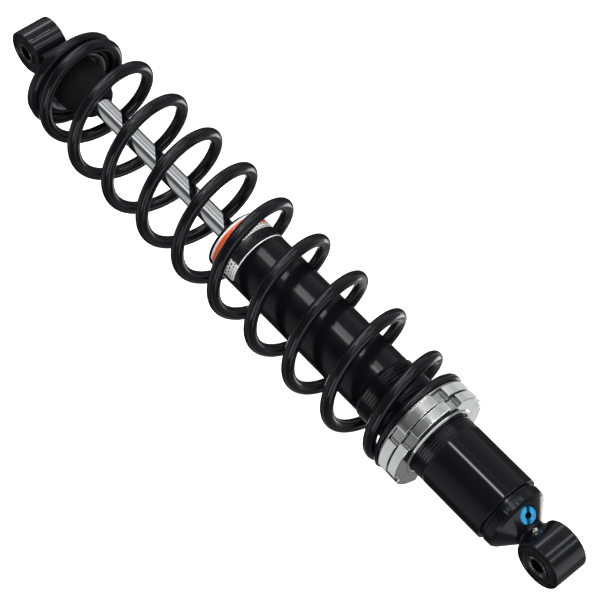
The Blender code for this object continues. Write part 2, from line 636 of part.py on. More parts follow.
def main():
    clear_scene()
    add_datum()
    add_rod_eye()
    add_rod()
    add_hex_nut("jam_nut", JAM_NUT_FLATS, JAM_NUT_LOW, JAM_NUT_HEIGHT)
    add_bump_stop()
    add_bump_cup()
    add_piston()
    add_valving()
    add_spring()
    add_retainer()
    add_preload_stack()
    add_tube()
    add_seal_head()
    add_rod_end_closure()
    add_floating_piston()
    add_end_cap()
    add_gas_port()
    add_label()


main()
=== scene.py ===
"""Looks of the coil-over shock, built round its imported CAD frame.

The shock hangs along Z with the body eye's bolt axis at the origin and the rod eye below. Heights and
other lengths on the shock are in millimetres, heights up from the rod eye's bolt axis, as in the CAD
source. Studio lengths are in metres.
"""

import math

import bmesh
import bpy
import numpy as np
from mathutils import Matrix, Vector


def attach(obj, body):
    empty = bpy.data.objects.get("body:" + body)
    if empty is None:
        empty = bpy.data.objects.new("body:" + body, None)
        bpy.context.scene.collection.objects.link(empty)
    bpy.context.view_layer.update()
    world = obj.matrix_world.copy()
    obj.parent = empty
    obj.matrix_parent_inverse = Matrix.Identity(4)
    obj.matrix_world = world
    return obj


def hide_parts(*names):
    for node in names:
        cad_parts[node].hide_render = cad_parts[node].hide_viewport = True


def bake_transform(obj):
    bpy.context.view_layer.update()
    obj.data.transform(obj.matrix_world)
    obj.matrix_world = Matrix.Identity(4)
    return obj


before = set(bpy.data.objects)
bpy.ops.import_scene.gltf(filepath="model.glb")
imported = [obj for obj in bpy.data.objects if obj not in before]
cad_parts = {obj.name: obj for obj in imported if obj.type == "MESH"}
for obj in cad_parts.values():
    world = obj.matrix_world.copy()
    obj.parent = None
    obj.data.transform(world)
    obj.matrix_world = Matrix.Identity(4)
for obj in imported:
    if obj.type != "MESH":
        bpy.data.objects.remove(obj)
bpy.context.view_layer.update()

MM = 0.001
EYE_TO_EYE = 508
TO_WORLD = Matrix.Translation((0, 0, -EYE_TO_EYE * MM))     # from heights above the rod eye

# Camera and studio directions
CAMERA_AZIMUTH = math.radians(26.69)
CAMERA_ELEVATION = math.radians(22.14)
CAMERA_ROLL = math.radians(44.87)
CAMERA_DISTANCE = 1.2319
CAMERA_AIM = (1.7 * MM, -0.2324)    # off the shock's axis, and height
CAMERA_LENS = 114.15
TOWARDS = Vector((math.sin(CAMERA_AZIMUTH), -math.cos(CAMERA_AZIMUTH), 0))
ACROSS = Vector((-math.cos(CAMERA_AZIMUTH), -math.sin(CAMERA_AZIMUTH), 0))
UP = Vector((0, 0, 1))
FLOOR_HEIGHT = -4.0
FLOOR_HALF = 40
FILL_STRENGTH = 2.1
FILL_SPREAD = math.radians(50)
FILL_FROM = TOWARDS + ACROSS * 0.35 + UP * 0.5

# Spring
WIRE_RADIUS = 4.4
COIL_RADIUS = 39.25
END_COIL_RADIUS = 33.4
SPRING_LOW = 37.0
SPRING_HIGH = 391.1
CLOSED_PITCH = 9.1
OPENING_HEIGHT = 6.6
OPENING_ANGLE = math.radians(170)
TIP_ANGLE = math.radians(350)
SPAN_ANGLE = math.radians(3460)
START_ANGLE = math.radians(-153.3)
WIDENING = (math.radians(-40), math.radians(480))
SPLIT_ANGLE = SPAN_ANGLE - math.radians(400)    # the top coil above this is a piece of its own
SEATED_ANGLE = math.radians(40)                 # angle of wire next to each seat

# Eyes
EYE_HALF = 12.7
SLEEVE_HALF = 13.5
SLEEVE_RADIUS = 8.0
BOLT_RADIUS = 5.1
EYE_WALL = 3.2
ROD_EYE_RADIUS = 16.3
BODY_EYE_RADIUS = 16.75

# Body
BORE_RADIUS = 20.0
SLIM_RADIUS = 22.75
CREST_RADIUS = 23.8
STOUT_RADIUS = 23.95
TUBE_LOW = 211.7
THREAD_LOW = 356.4
THREAD_HIGH = 420.2
TUBE_HIGH = 469.0
THREAD_PITCH = 2.0
THREAD_DEPTH = 0.5

# End cap: its cone, the stamped ticks round its band, and the gas port in the cone
CONE_LOW = (21.0, 480.0)            # radius and height
CONE_HIGH = (9.9, 489.3)
TICKS = [(-93, 4), (-88, 3), (-82, 4), (-76, 3), (-70, 4), (-65, 3), (-60, 4), (-53, 3), (-48, 4),
         (-43, 3)]                  # degrees about Z, and length
TICK_RADIUS = 22.7
TICK_LOW = 473.4
TICK_HALF_WIDTH = 0.55
TICK_FLOOR_RADII = (21.8, 22.5)     # the ticks' faces lie between these radii and heights
TICK_FLOOR_HEIGHTS = (473.3, 477.5)
TICK_HIGHLIGHT_END = 12.5            # ticks further along X than this stay black; nearer ones get a painted highlight
PLUG_SLOT_ANGLE = math.radians(62)

# Label
LABEL_LOW = 213.6
LABEL_HIGH = 236.7
LABEL_RADII = (22.88, 22.98)
LABEL_PRINT_RADIUS = 22.9
LABEL_CORNER = 2.0
LABEL_START = math.radians(-168)
LABEL_SPAN = math.radians(168)
LABEL_SKEW = 2.2                    # stuck on askew: its far end sits this much higher

# Preload rings
ADJUSTER_LOW = 393.0
LOCK_RING_LOW = 400.9
RING_HEIGHT = 7.6
RING_RADIUS = 36.7
RING_BORE = 24.1
NOTCHES = 6
NOTCH_FLOOR = 32.9
NOTCH_HALF_WIDTH = 4.8
ADJUSTER_NOTCH_ANGLE = math.radians(-37.5)
LOCK_NOTCH_ANGLE = math.radians(-43.5)


# Meshes

def finish_mesh(name, mesh, material, body, node, sharp=32, weighted=True):
    """Make a mesh into a piece that stands for a CAD node and rides on its body."""
    mesh.name = name
    mesh.materials.clear()
    for entry in material if isinstance(material, list) else [material]:
        mesh.materials.append(entry)
    mesh.shade_smooth()
    mesh.set_sharp_from_angle(angle=math.radians(sharp))
    piece = bpy.data.objects.new(name, mesh)
    bpy.context.scene.collection.objects.link(piece)
    if weighted:
        modifier = piece.modifiers.new("normals", 'WEIGHTED_NORMAL')
        modifier.keep_sharp = True
    if body:
        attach(piece, body)
    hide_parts(node)
    return piece


def clean(bm):
    """Weld, drop slivers, and turn every face outwards."""
    bmesh.ops.remove_doubles(bm, verts=bm.verts, dist=0.002 * MM)
    bmesh.ops.dissolve_degenerate(bm, edges=bm.edges, dist=0.001 * MM)
    bmesh.ops.recalc_face_normals(bm, faces=bm.faces)
    if bm.calc_volume(signed=True) < 0:
        bmesh.ops.reverse_faces(bm, faces=bm.faces)


def to_mesh(bm):
    """Cleaned mesh of a bmesh, which is freed."""
    clean(bm)
    mesh = bpy.data.meshes.new("piece")
    bm.to_mesh(mesh)
    bm.free()
    return mesh


def rounded(corners):
    """Closed outline of (radius, height) corners in mm; a third number rounds that corner."""
    points = []
    count = len(corners)
    for index, corner in enumerate(corners):
        here = Vector(corner[:2])
        if len(corner) < 3:
            points.append(tuple(here))
            continue
        to_last = Vector(corners[index - 1][:2]) - here
        to_next = Vector(corners[(index + 1) % count][:2]) - here
        half = to_last.angle(to_next) / 2
        cut = min(corner[2] / math.tan(half), 0.49 * to_last.length, 0.49 * to_next.length)
        radius = cut * math.tan(half)
        inward = (to_last.normalized() + to_next.normalized()).normalized()
        centre = here + inward * radius / math.sin(half)
        first = here + to_last.normalized() * cut - centre
        last = here + to_next.normalized() * cut - centre
        start = math.atan2(first.y, first.x)
        sweep = (math.atan2(last.y, last.x) - start + math.pi) % (2 * math.pi) - math.pi
        steps = max(2, math.ceil(abs(sweep) / math.radians(20)))
        for step in range(steps + 1):
            angle = start + sweep * step / steps
            points.append((centre.x + radius * math.cos(angle), centre.y + radius * math.sin(angle)))
    return points


def grid(rows, closed_rows=True, closed_columns=True):
    """Bmesh of quads through rows of points."""
    bm = bmesh.new()
    made = [[bm.verts.new(point) for point in row] for row in rows]
    pairs = list(zip(made, made[1:]))
    if closed_rows:
        pairs.append((made[-1], made[0]))
    width = len(made[0])
    for low, high in pairs:
        for column in range(width if closed_columns else width - 1):
            following = (column + 1) % width
            bm.faces.new((low[column], low[following], high[following], high[column]))
    return bm


def lathe(corners, segments=96, lift=True):
    """Turn a closed outline in mm about Z; lift puts its heights in the world frame."""
    drop = EYE_TO_EYE if lift else 0
    rows = []
    for radius, height in rounded(corners):
        rows.append([(radius * MM * math.cos(2 * math.pi * k / segments),
                      radius * MM * math.sin(2 * math.pi * k / segments), (height - drop) * MM)
                     for k in range(segments)])
    return grid(rows)


def placed(bm, matrix):
    bmesh.ops.transform(bm, matrix=matrix, verts=bm.verts)
    return bm


def along_x(height):
    """Frame on a bolt axis: its Z points along world X."""
    return Matrix.Translation((0, 0, (height - EYE_TO_EYE) * MM)) @ Matrix.Rotation(math.pi / 2, 4, 'Y')


def box(matrix, low, high):
    """Block between two corners in mm, moved by a matrix in metres."""
    bm = bmesh.new()
    size = Matrix.Diagonal((*(Vector(high) - Vector(low)), 1))
    middle = Matrix.Translation((Vector(high) + Vector(low)) * MM / 2)
    bmesh.ops.create_cube(bm, size=1, matrix=matrix @ middle @ Matrix.Scale(MM, 4) @ size)
    return bm


def solid(bm, operations=(), bevel=0.0, bevel_angle=40, bevel_steps=3):
    """Mesh of bm after exact Booleans with other bmeshes and a bevel of the edges they leave."""
    scene = bpy.context.scene
    base = bpy.data.objects.new("base", to_mesh(bm))
    scene.collection.objects.link(base)
    others = []
    for operation, other in operations:
        tool = bpy.data.objects.new("tool", to_mesh(other))
        scene.collection.objects.link(tool)
        others.append(tool)
        modifier = base.modifiers.new("boolean", 'BOOLEAN')
        modifier.operation = operation
        modifier.solver = 'EXACT'
        modifier.object = tool
    if bevel:
        modifier = base.modifiers.new("bevel", 'BEVEL')
        modifier.width = bevel * MM
        modifier.segments = bevel_steps
        modifier.limit_method = 'ANGLE'
        modifier.angle_limit = math.radians(bevel_angle)
        modifier.use_clamp_overlap = True
    bpy.context.view_layer.update()
    depsgraph = bpy.context.evaluated_depsgraph_get()
    mesh = bpy.data.meshes.new_from_object(base.evaluated_get(depsgraph))
    for obj in (base, *others):
        bpy.data.objects.remove(obj)
    return mesh


# Spring

def smooth_step(value, low, high):
    share = min(max((value - low) / (high - low), 0), 1)
    return share * share * (3 - 2 * share)


def coil_pitch():
    """Pitch of the open coils that makes the two mirrored halves meet."""
    half_height = (SPRING_HIGH - SPRING_LOW) / 2
    closed_part = CLOSED_PITCH * OPENING_ANGLE / (4 * math.pi)
    return (half_height - OPENING_HEIGHT - closed_part) * 4 * math.pi / (SPAN_ANGLE - OPENING_ANGLE)


def height_on_seat(angle):
    """Height of the wire's centre above its seat, closed at first and then opening."""
    if angle <= 0:
        return OPENING_HEIGHT + CLOSED_PITCH * angle / (2 * math.pi)
    opened = min(angle, OPENING_ANGLE)
    growth = (coil_pitch() - CLOSED_PITCH) * opened / OPENING_ANGLE
    height = OPENING_HEIGHT + (CLOSED_PITCH + growth / 2) * opened / (2 * math.pi)
    return height + coil_pitch() * (angle - opened) / (2 * math.pi)


def wire_centre(angle):
    """Centre of the wire, in mm; the angle is 0 where the lower closed coil begins to open."""
    from_seat = min(angle, SPAN_ANGLE - angle)
    radius = END_COIL_RADIUS + (COIL_RADIUS - END_COIL_RADIUS) * smooth_step(from_seat, *WIDENING)
    if angle < SPAN_ANGLE / 2:
        height = SPRING_LOW + height_on_seat(angle)
    else:
        height = SPRING_HIGH - height_on_seat(SPAN_ANGLE - angle)
    turn = START_ANGLE + angle
    return Vector((radius * math.cos(turn), radius * math.sin(turn), height))


def wire(low, high, sides=20, steps_per_turn=60):
    """Wire between two angles, ground flat on the seats; also each point's angle and place on the wire."""
    steps = math.ceil((high - low) / (2 * math.pi) * steps_per_turn)
    rows, angles, places = [], [], []
    for step in range(steps + 1):
        angle = low + (high - low) * step / steps
        centre = wire_centre(angle)
        tangent = (wire_centre(angle + 0.01) - wire_centre(angle - 0.01)).normalized()
        outward = Vector((centre.x, centre.y, 0)).normalized()
        across = tangent.cross(outward).normalized()
        row = []
        for side in range(sides):
            around = 2 * math.pi * (side + 0.5) / sides
            offset = Vector((math.cos(around), math.sin(around))) * WIRE_RADIUS
            point = centre + outward * offset.x + across * offset.y
            point.z = min(max(point.z, SPRING_LOW), SPRING_HIGH) - EYE_TO_EYE
            row.append(point * MM)
            angles.append(angle)
            places.append((angle * COIL_RADIUS * MM, offset.x * MM, offset.y * MM))
        rows.append(row)
    vertices = [tuple(point) for row in rows for point in row]
    faces = []
    for step in range(steps):
        for side in range(sides):
            following = (side + 1) % sides
            faces.append((step * sides + side, step * sides + following,
                          (step + 1) * sides + following, (step + 1) * sides + side))
    faces.append(tuple(reversed(range(sides))))
    faces.append(tuple(range(steps * sides, (steps + 1) * sides)))
    mesh = bpy.data.meshes.new("wire")
    mesh.from_pydata(vertices, [], faces)
    bm = bmesh.new()
    bm.from_mesh(mesh)
    if bm.calc_volume(signed=True) < 0:
        bmesh.ops.reverse_faces(bm, faces=bm.faces)
        bm.to_mesh(mesh)
    bm.free()
    place = mesh.attributes.new("wire_place", 'FLOAT_VECTOR', 'POINT')
    place.data.foreach_set("vector", np.array(places, np.float32).ravel())
    return mesh, np.array(angles)


def add_spring(material):
    """Two pieces that meet below the top coil."""
    parts = (("spring_coils", -TIP_ANGLE, SPLIT_ANGLE, "damper_body", "spring_seat",
              SPLIT_ANGLE, SEATED_ANGLE),
             ("spring_top_coil", SPLIT_ANGLE, SPAN_ANGLE + TIP_ANGLE, "damper_body", "preload_seat",
              SPLIT_ANGLE, SPAN_ANGLE - SEATED_ANGLE))
    for name, low, high, still, moving, start, end in parts:
        mesh, angles = wire(low, high)
        piece = finish_mesh(name, mesh, material, None, "coil_spring", 50, False)
        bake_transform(piece)


# Body

def tube_mesh(segments=96, rows_per_turn=6):
    """Tube with a real helical preload thread between its slim and stout parts."""
    lead_in = 0.7       # height over which the thread rises out of the slim part
    run_out = 1.5       # height over which its groove fades at either end
    root = SLIM_RADIUS + 0.3
    support = 0.3       # rows this close to an edge keep the long walls' shading straight
    below = rounded([(BORE_RADIUS, TUBE_LOW + 0.2, 0.3), (SLIM_RADIUS, TUBE_LOW, 1.4),
                     (SLIM_RADIUS, TUBE_LOW + 1.4 + 2 * support), (SLIM_RADIUS, THREAD_LOW - support),
                     (SLIM_RADIUS, THREAD_LOW)])
    above = rounded([(STOUT_RADIUS, THREAD_HIGH), (STOUT_RADIUS, THREAD_HIGH + support),
                     (STOUT_RADIUS, TUBE_HIGH - 0.6 - 2 * support), (STOUT_RADIUS, TUBE_HIGH, 0.6),
                     (STOUT_RADIUS - 1.6, TUBE_HIGH)])
    inner = [(BORE_RADIUS, TUBE_HIGH), (BORE_RADIUS, TUBE_LOW + 1.2)]
    turns = [2 * math.pi * k / segments for k in range(segments)]

    def point_at(radius, turn, height):
        return radius * MM * math.cos(turn), radius * MM * math.sin(turn), (height - EYE_TO_EYE) * MM

    def ring(radius, height):
        return [point_at(radius, turn, height) for turn in turns]

    rows = [ring(*point) for point in below]
    low, high = THREAD_LOW + 1.2, THREAD_HIGH - 0.2
    rows.append(ring(root, low))
    count = math.ceil((high - low) / THREAD_PITCH + 2) * rows_per_turn
    for step in range(count):
        share = (step % rows_per_turn) / rows_per_turn
        flank = min(1, max(0, 1.6 * abs(2 * share - 1) - 0.35))     # 0 in the groove, 1 on the crest
        row = []
        for turn in turns:
            phase = step / rows_per_turn - 1
            height = low + (phase + turn / (2 * math.pi)) * THREAD_PITCH
            fade = min(1, max(0, (height - low) / run_out)) * min(1, max(0, (high - height) / run_out))
            radius = CREST_RADIUS - THREAD_DEPTH * (1 - flank) * fade
            lead = min(1, max(0, (height - low) / lead_in))
            radius = root * (1 - lead) + radius * lead
            row.append(point_at(radius, turn, min(max(height, low), high)))
        rows.append(row)
    rows.append(ring(CREST_RADIUS, high))
    rows += [ring(*point) for point in above + inner]
    return to_mesh(grid(rows))


def port_frame():
    """Frame on the cone's middle at -Y, with Z along the cone's outward normal."""
    radius = (CONE_LOW[0] + CONE_HIGH[0]) / 2
    height = (CONE_LOW[1] + CONE_HIGH[1]) / 2 - EYE_TO_EYE
    slope = math.atan2(CONE_HIGH[1] - CONE_LOW[1], CONE_LOW[0] - CONE_HIGH[0])
    place = Matrix.Translation((0, -radius * MM, height * MM))
    return place @ Matrix.Rotation(math.pi / 2 - slope, 4, 'X')


def eye_parts(height, radius):
    """Barrel and bore of a bushed eye, with broken edges."""
    bore = radius - EYE_WALL
    barrel = lathe([(0, -EYE_HALF), (radius, -EYE_HALF, 0.9), (radius, EYE_HALF, 0.9), (0, EYE_HALF)],
                   96, False)
    hole = lathe([(0, -EYE_HALF - 1), (bore + 1.5, -EYE_HALF - 1), (bore, -EYE_HALF + 0.5),
                  (bore, EYE_HALF - 0.5), (bore + 1.5, EYE_HALF + 1), (0, EYE_HALF + 1)], 96, False)
    at = along_x(height)
    return [('UNION', placed(barrel, at)), ('DIFFERENCE', placed(hole, at))]


def add_eye_fittings(name, height, eye_radius, bush_body, sleeve_body, rubber, steel):
    """Moulded rubber bush, and the steel sleeve with serrated ends that the bolt clamps."""
    outer = eye_radius - EYE_WALL - 0.3
    half = EYE_HALF - 0.4
    inner = SLEEVE_RADIUS + 0.3
    middle = (outer + inner) / 2
    face = [(inner, 0, 0.2), (middle - 1.5, 0, 0.3), (middle - 1.0, -0.9, 0.3), (middle + 0.9, -0.9, 0.3),
            (middle + 1.4, 0, 0.3), (outer, 0, 0.5)]
    low = [(r, -half - h, f) for r, h, f in face]
    high = [(r, half + h, f) for r, h, f in reversed(face)]
    bush = placed(lathe(low + high, 96, False), along_x(height))
    finish_mesh(name + "_rubber_bush", to_mesh(bush), rubber, bush_body, name + "_bush")
    teeth, tooth_depth = 24, 0.35
    sleeve = lathe([(BOLT_RADIUS, -SLEEVE_HALF + 0.9), (BOLT_RADIUS + 0.9, -SLEEVE_HALF),
                    (SLEEVE_RADIUS - 0.5, -SLEEVE_HALF), (SLEEVE_RADIUS, -SLEEVE_HALF + 0.5),
                    (SLEEVE_RADIUS, SLEEVE_HALF - 0.5), (SLEEVE_RADIUS - 0.5, SLEEVE_HALF),
                    (BOLT_RADIUS + 0.9, SLEEVE_HALF), (BOLT_RADIUS, SLEEVE_HALF - 0.9)], 96, False)
    for vertex in sleeve.verts:
        tooth = round(math.atan2(vertex.co.y, vertex.co.x) / (2 * math.pi) * 96) % (96 // teeth)
        if abs(vertex.co.z) > (SLEEVE_HALF - 0.1) * MM and tooth == 0:
            vertex.co.z -= math.copysign(tooth_depth * MM, vertex.co.z)
    finish_mesh(name + "_steel_sleeve", to_mesh(placed(sleeve, along_x(height))), steel, sleeve_body,
                name + "_sleeve", 20, False)


def add_end_cap(material, tick_highlight_steel):
    """Cap and body eye in one; the stamped ticks on the lit side get a lighter steel colour as a painted
    highlight, the others stay black.
    """
    corners = [(0, 472), (13, 472, 1), (13, 456.4), (19.7, 456, 0.4), (19.7, 469.3), (21.7, 469.3, 0.2),
               (21.7, 471.4, 0.2), (22.7, 472.2, 0.3), (22.5, 477.6, 0.2), (22.0, 478.4, 0.3),
               (21.2, 479.7, 0.25), (*CONE_HIGH, 1.6), (9.9, 490.4, 1.2), (12.3, 494.2, 1.5), (12.3, 500),
               (0, 500)]
    port = lathe([(0, -18), (2.2, -18), (2.2, -13.4), (4.2, -13.4), (4.2, -3.4), (6.05, -3.4),
                  (6.05, -0.4), (6.5, 0.1), (9, 3), (9, 8), (0, 8)], 48, False)
    steps = eye_parts(EYE_TO_EYE, BODY_EYE_RADIUS) + [('DIFFERENCE', placed(port, port_frame()))]
    for degrees, length in TICKS:
        turn = TO_WORLD @ Matrix.Rotation(math.radians(degrees), 4, 'Z')
        at = turn @ Matrix.Translation((TICK_RADIUS * MM, 0, 0)) @ Matrix.Rotation(math.pi / 4, 4, 'Z')
        tick = box(at, (-TICK_HALF_WIDTH, -TICK_HALF_WIDTH, TICK_LOW),
                   (TICK_HALF_WIDTH, TICK_HALF_WIDTH, TICK_LOW + length))
        steps.append(('DIFFERENCE', tick))
    cap = finish_mesh("cap_and_eye", solid(lathe(corners), steps), [material, tick_highlight_steel], "damper_body",
                      "end_cap", 28)
    for face in cap.data.polygons:
        radius = face.center.xy.length / MM
        height = face.center.z / MM + EYE_TO_EYE
        in_tick = (TICK_FLOOR_RADII[0] < radius < TICK_FLOOR_RADII[1]
                   and TICK_FLOOR_HEIGHTS[0] < height < TICK_FLOOR_HEIGHTS[1])
        # Tick faces on the side where light catches them take the lighter steel: a painted highlight.
        if in_tick and face.center.x < TICK_HIGHLIGHT_END * MM:
            face.material_index = 1


def add_plug(material, slot_painted_shade):
    """Slotted plug in the gas port, with its small centre hole; the slot's faces get a near-black material as
    painted shade.
    """
    frame_at = port_frame()
    head = lathe([(1.9, -10), (3.9, -10, 0.3), (3.9, -3.1), (5.75, -3.1, 0.2), (5.75, -0.4, 0.7),
                  (2.3, -0.4, 0.3), (2.3, -2.8), (1.9, -2.8)], 64, False)
    slot = box(frame_at @ Matrix.Rotation(PLUG_SLOT_ANGLE, 4, 'Z'), (-7, -1.2, -2.4), (7, 1.2, 1))
    mesh = solid(placed(head, frame_at), [('DIFFERENCE', slot)], 0.15, 50, 2)
    plug = finish_mesh("gas_plug", mesh, [material, slot_painted_shade], "damper_body", "gas_port_plug")
    to_port = frame_at.inverted()
    for face in plug.data.polygons:
        local = to_port @ face.center / MM
        # Faces inside the slot take the near-black material: painted shade in the slot.
        below_face, inside_rim = local.z < -0.9, local.xy.length < 5.4
        if below_face and inside_rim:
            face.material_index = 1


def add_label(material, segments=56):
    """Thin printed film wrapped on the tube, with rounded corners."""
    inner, outer = LABEL_RADII
    outline = [(inner, LABEL_LOW), (outer, LABEL_LOW), (outer, LABEL_HIGH), (inner, LABEL_HIGH)]
    rows = []
    for radius, height in outline:
        row = []
        for step in range(segments + 1):
            share = step / segments
            turn = LABEL_START + LABEL_SPAN * share
            arc = min(share, 1 - share) * LABEL_SPAN * radius
            beyond = LABEL_CORNER - min(arc, LABEL_CORNER)
            inset = LABEL_CORNER - math.sqrt(max(LABEL_CORNER ** 2 - beyond ** 2, 0))
            bent = height + inset if height == LABEL_LOW else height - inset
            bent += LABEL_SKEW * (share - 0.5)
            row.append((radius * MM * math.cos(turn), radius * MM * math.sin(turn), (bent - EYE_TO_EYE) * MM))
        rows.append(row)
    bm = grid(rows, True, False)
    bm.verts.ensure_lookup_table()
    width = segments + 1
    bm.faces.new([bm.verts[row * width] for row in range(4)])
    bm.faces.new([bm.verts[row * width + segments] for row in reversed(range(4))])
    finish_mesh("label_film", to_mesh(bm), material, "damper_body", "warning_label", 60, False)


def add_ring(name, low, notch_angle, look, body, node, lip=False):
    """Castellated preload ring with milled notches, whose floors get a darker, rougher metal: partly a milled
    finish, partly painted shade from the notch walls; lip raises its thread's mouth.
    """
    high = low + RING_HEIGHT
    if lip:
        profile = [(RING_BORE, low + 1.3), (25.4, low), (31.0, low), (31.0, low + 0.7),
                   (RING_RADIUS, low + 0.7, 0.35), (RING_RADIUS, high, 0.5), (27.0, high, 0.4),
                   (26.5, high + 0.8, 0.6), (24.3, high + 0.8, 0.6), (RING_BORE, high - 0.6)]
    else:
        profile = [(RING_BORE, low + 1.3), (25.4, low), (RING_RADIUS, low, 0.5),
                   (RING_RADIUS, high, 0.35), (25.4, high), (RING_BORE, high - 1.3)]
    cuts = []
    for index in range(NOTCHES):
        at = TO_WORLD @ Matrix.Rotation(notch_angle + index * 2 * math.pi / NOTCHES, 4, 'Z')
        cuts.append(('DIFFERENCE', box(at, (NOTCH_FLOOR, -NOTCH_HALF_WIDTH, low - 1),
                                       (40, NOTCH_HALF_WIDTH, high + 1))))
    ring = finish_mesh(name, solid(lathe(profile, 144), cuts, 0.35, 50, 2),
                       [look["aluminium"], look["milled_and_shaded"]], body, node)
    # Notch floors take the darker metal: a milled finish and painted shade from the notch walls.
    for face in ring.data.polygons:
        outward = Vector((face.center.x, face.center.y, 0)).normalized()
        faces_out = face.normal.dot(outward) > 0.9
        if face.center.xy.length / MM < RING_RADIUS - 1.3 and faces_out:
            face.material_index = 1


def add_retainer(material):
    """Lower spring seat, slotted so that it slides on sideways over the rod."""
    corners = [(9.3, 33.4), (36.8, 33.4, 0.9), (36.8, 36.7, 0.5), (28.4, 36.7, 0.3), (28.4, 41.8, 1.0),
               (25.4, 41.8, 0.5), (25.4, 36.7, 0.8), (9.3, 36.7)]
    slot = box(TO_WORLD, (-7.5, 0, 32), (7.5, 38, 43))
    mesh = solid(lathe(corners), [('DIFFERENCE', slot)], 0.35, 50)
    finish_mesh("lower_spring_seat", mesh, material, "spring_seat", "spring_retainer")


def add_rod_eye(material):
    """Eye with a rectangular neck, and a collar with two spanner flats."""
    shank = [(0, 8), (8, 8), (8, 24, 2.5), (14, 28, 0.6), (14, 33.1, 0.4), (9, 33.1, 0.3), (9, 37, 0.5),
             (0, 37)]
    hole = lathe([(0, 20.7), (5.3, 20.7), (5.3, 36.3), (6.2, 37.2), (6.2, 38), (0, 38)], 48)
    neck = box(TO_WORLD, (-9.5, -8.6, 6), (9.5, 8.6, 27.5))
    upright = [edge for edge in neck.edges if abs(edge.verts[0].co.z - edge.verts[1].co.z) > 5 * MM]
    bmesh.ops.bevel(neck, geom=upright, offset=1.6 * MM, segments=4, profile=0.5, affect='EDGES')
    steps = [('UNION', neck)] + eye_parts(0, ROD_EYE_RADIUS) + [('DIFFERENCE', hole)]
    for degrees in (-62, 118):
        at = TO_WORLD @ Matrix.Rotation(math.radians(degrees), 4, 'Z')
        steps.append(('DIFFERENCE', box(at, (13.35, -12, 26), (20, 12, 34))))
    finish_mesh("rod_end_eye", solid(lathe(shank), steps), material, "rod_assembly",
                "rod_eye", 28)


def add_turned(name, corners, material, body, node, segments=96):
    return finish_mesh(name, to_mesh(lathe(corners, segments)), material, body, node)


def add_nut(material):
    """Hexagon with turned-off corners."""
    low, high = 37.3, 43.3
    across_flats = 19
    corner = across_flats / 2 / math.cos(math.pi / 6)
    blank = lathe([(5.3, low + 0.6), (5.9, low), (9.6, low), (11.4, low + 0.9), (11.4, high - 0.9),
                   (9.6, high), (5.9, high), (5.3, high - 0.6)], 72)
    hexagon = lathe([(0, low - 1), (corner, low - 1), (corner, high + 1), (0, high + 1)], 6)
    mesh = solid(blank, [('INTERSECT', hexagon)])
    finish_mesh("lock_nut", mesh, material, "rod_assembly", "jam_nut")


# Materials

class Graph:
    """Builds one node tree; an input that is a socket is linked and any other value is set."""

    def __init__(self, tree):
        self.tree = tree

    def node(self, kind, inputs=None, **settings):
        made = self.tree.nodes.new(kind)
        for key, value in settings.items():
            setattr(made, key, value)
        for key, value in (inputs or {}).items():
            self.feed(made.inputs[key], value)
        return made

    def feed(self, socket, value):
        if isinstance(value, bpy.types.NodeSocket):
            self.tree.links.new(value, socket)
        else:
            socket.default_value = value

    def math(self, operation, *values):
        return self.node('ShaderNodeMath', dict(enumerate(values)), operation=operation).outputs[0]

    def dot(self, first, second):
        made = self.node('ShaderNodeVectorMath', {0: first, 1: second}, operation='DOT_PRODUCT')
        return made.outputs["Value"]

    def ramp(self, value, stops, interpolation='LINEAR'):
        """Colour ramp with grey or coloured stops."""
        made = self.node('ShaderNodeValToRGB', {0: value})
        made.color_ramp.interpolation = interpolation
        elements = made.color_ramp.elements
        for index, (position, colour) in enumerate(stops):
            element = elements[index] if index < 2 else elements.new(position)
            element.position = position
            grey = isinstance(colour, (int, float))
            element.color = (colour, colour, colour, 1) if grey else (*colour, 1)
        return made.outputs[0]

    def noise(self, coordinates, scale, detail=3.0, roughness=0.55):
        made = self.node('ShaderNodeTexNoise', {"Vector": coordinates, "Scale": scale, "Detail": detail,
                                                "Roughness": roughness})
        return made.outputs[0]

    def spread(self, value, low, high, start=0.35, end=0.65):
        """Map the middle of a noise onto a range."""
        made = self.node('ShaderNodeMapRange', {"Value": value, "From Min": start, "From Max": end,
                                                "To Min": low, "To Max": high})
        return made.outputs[0]

    def ease(self, value, start, end):
        """Smooth rise from 0 at start to 1 at end."""
        return self.node('ShaderNodeMapRange', {"Value": value, "From Min": start, "From Max": end},
                         interpolation_type='SMOOTHSTEP').outputs[0]

    def mix(self, share, first, second):
        made = self.node('ShaderNodeMix', data_type='RGBA')
        self.feed(made.inputs[0], share)
        self.feed(made.inputs[6], first if isinstance(first, bpy.types.NodeSocket) else (*first, 1))
        self.feed(made.inputs[7], second if isinstance(second, bpy.types.NodeSocket) else (*second, 1))
        return made.outputs[2]


def new_material(name):
    material = bpy.data.materials.new(name)
    material.use_nodes = True
    graph = Graph(material.node_tree)
    return material, graph, material.node_tree.nodes["Principled BSDF"]


LATHE_MARK_STRETCH = 0.0006     # metres of texture to a radian, which draws the grain out round Z


def place_of(graph, kind):
    """Texture coordinates: 'solid' follows the shape, 'turned' runs round Z, 'wire' along the wire."""
    if kind == 'wire':
        return graph.node('ShaderNodeAttribute', attribute_name="wire_place").outputs["Vector"]
    position = graph.node('ShaderNodeTexCoord').outputs["Object"]
    if kind == 'solid':
        return position
    x, y, z = graph.node('ShaderNodeSeparateXYZ', {0: position}).outputs
    radius = graph.math('SQRT', graph.math('ADD', graph.math('POWER', x, 2.0), graph.math('POWER', y, 2.0)))
    turn = graph.math('MULTIPLY', graph.math('ARCTAN2', y, x), LATHE_MARK_STRETCH)
    return graph.node('ShaderNodeCombineXYZ', {0: radius, 1: turn, 2: z}).outputs[0]


